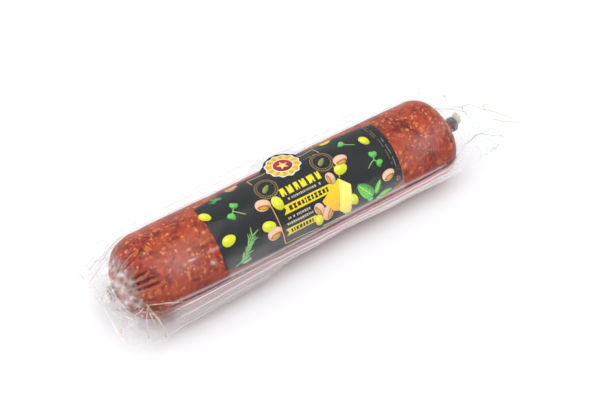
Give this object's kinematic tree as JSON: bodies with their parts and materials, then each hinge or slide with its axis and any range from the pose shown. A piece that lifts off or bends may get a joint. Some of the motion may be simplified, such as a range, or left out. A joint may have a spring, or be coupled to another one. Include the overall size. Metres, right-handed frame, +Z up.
{
  "type": "cured sausage in a vacuum pack",
  "caption": "Thick cured salami lying in a clear vacuum pack with a dark printed label, pleated ends and film flaps at both ends",
  "frame": {"origin": "on the table under the middle of the sausage, on the flat strip that the pack rests on", "axes": "+X along the sausage towards the end with the long flap, +Z up, the pack's near edge hangs down on the -Y side"},
  "size_m": [0.344, 0.0893, 0.0608],
  "materials": {
    "cured_meat": "red-brown cured meat with orange fat grains under a smooth casing, slightly glossy",
    "clip_metal": "bright drawn aluminium wire, satin",
    "printed_label": "satin black printed label with coloured ingredients and thin gold lines",
    "clear_film": "clear glossy vacuum film with fine wrinkles, slightly milky at the seals"
  },
  "bodies": {
    "root": {"salami": "cured_meat", "clip_near_end": "clip_metal", "clip_far_end": "clip_metal", "label": "printed_label", "film_upper": "clear_film", "film_lower": "clear_film"}
  },
  "joints": []
}
